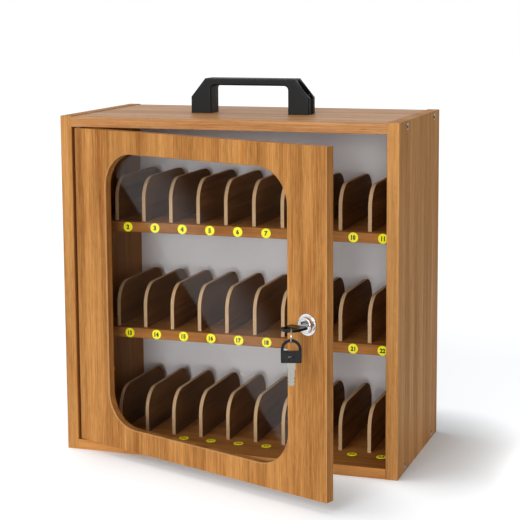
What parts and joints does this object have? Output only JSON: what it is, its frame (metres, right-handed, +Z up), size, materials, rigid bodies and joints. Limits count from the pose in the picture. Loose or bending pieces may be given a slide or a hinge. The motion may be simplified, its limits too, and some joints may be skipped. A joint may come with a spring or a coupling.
{
  "type": "device locker cabinet",
  "caption": "Portable wooden storage cabinet with numbered upright slots, a windowed hinged door with a cam lock and keys, and a carry handle.",
  "frame": {"origin": "centre of the underside of the cabinet body, level with the surface it stands on", "axes": "+Z up, -Y towards the door, +X to the right of someone facing the door"},
  "size_m": [0.4076, 0.3691, 0.4406],
  "materials": {
    "cabinet_wood": "satin oak veneer",
    "door_wood": "satin oak veneer, upright grain",
    "divider_wood": "satin veneer with pale raw edges",
    "back_board": "light grey laminate",
    "disc_yellow": "semi-gloss",
    "handle_plastic": "fine moulded texture",
    "steel": "zinc plated",
    "black_steel": "black oxide",
    "nylon": "natural nylon",
    "clear_pane": "clear acrylic",
    "lock_chrome": "polished",
    "key_nickel": "nickel plated",
    "key_plastic": "glossy moulded"
  },
  "bodies": {
    "cabinet": {"side_left": "cabinet_wood", "side_right": "cabinet_wood", "top_panel": "cabinet_wood", "bottom_panel": "cabinet_wood", "back_panel": "back_board", "shelf_upper": "cabinet_wood", "shelf_lower": "cabinet_wood", "number_discs": "disc_yellow", "divider_upper_1": "divider_wood", "divider_upper_2": "divider_wood", "divider_upper_3": "divider_wood", "divider_upper_4": "divider_wood", "divider_upper_5": "divider_wood", "divider_upper_6": "divider_wood", "divider_upper_7": "divider_wood", "divider_upper_8": "divider_wood", "divider_upper_9": "divider_wood", "divider_upper_10": "divider_wood", "divider_middle_1": "divider_wood", "divider_middle_2": "divider_wood", "divider_middle_3": "divider_wood", "divider_middle_4": "divider_wood", "divider_middle_5": "divider_wood", "divider_middle_6": "divider_wood", "divider_middle_7": "divider_wood", "divider_middle_8": "divider_wood", "divider_middle_9": "divider_wood", "divider_middle_10": "divider_wood", "divider_lower_1": "divider_wood", "divider_lower_2": "divider_wood", "divider_lower_3": "divider_wood", "divider_lower_4": "divider_wood", "divider_lower_5": "divider_wood", "divider_lower_6": "divider_wood", "divider_lower_7": "divider_wood", "divider_lower_8": "divider_wood", "divider_lower_9": "divider_wood", "divider_lower_10": "divider_wood", "handle": "handle_plastic", "handle_screws": "black_steel", "handle_nuts": "steel", "side_screws": "steel", "back_tacks": "steel", "hinge_bushes": "nylon", "strike_plate": "steel", "strike_screws": "steel"},
    "door": {"door_panel": "door_wood", "window_pane": "clear_pane", "pane_screws": "steel", "hinge_pins": "steel", "lock_body": "lock_chrome", "lock_nut": "steel"},
    "plug": {"lock_plug": "lock_chrome", "lock_cam": "steel", "cam_screw": "steel"},
    "key": {"key_bow": "key_plastic", "key_blade": "key_nickel"},
    "ring": {"key_ring": "key_nickel"},
    "spare_key": {"spare_key_bow": "key_plastic", "spare_key_blade": "key_nickel"}
  },
  "joints": [
    {"name": "door_swing", "type": "hinge", "parent": "cabinet", "child": "door", "pos_m": [-0.181, -0.095, 0.2], "axis": [0, 0, -1], "range_deg": [-21.2, 78.8]},
    {"name": "plug_turn", "type": "hinge", "parent": "door", "child": "plug", "pos_m": [0.13755, -0.22499, 0.2], "axis": [0.3616, 0.9323, 0], "range_deg": [0, 90]},
    {"name": "key_pull", "type": "slide", "parent": "plug", "child": "key", "axis": [-0.3616, -0.9323, 0], "range_m": [0, 0.018]},
    {"name": "ring_turn", "type": "hinge", "parent": "key", "child": "ring", "pos_m": [0.12759, -0.25068, 0.2], "axis": [0, 0, 1], "range_deg": [-98, 22]},
    {"name": "spare_key_swing", "type": "hinge", "parent": "ring", "child": "spare_key", "pos_m": [0.13023, -0.25944, 0.18773], "axis": [0.289, -0.9573, 0], "range_deg": [-30, 30]}
  ]
}
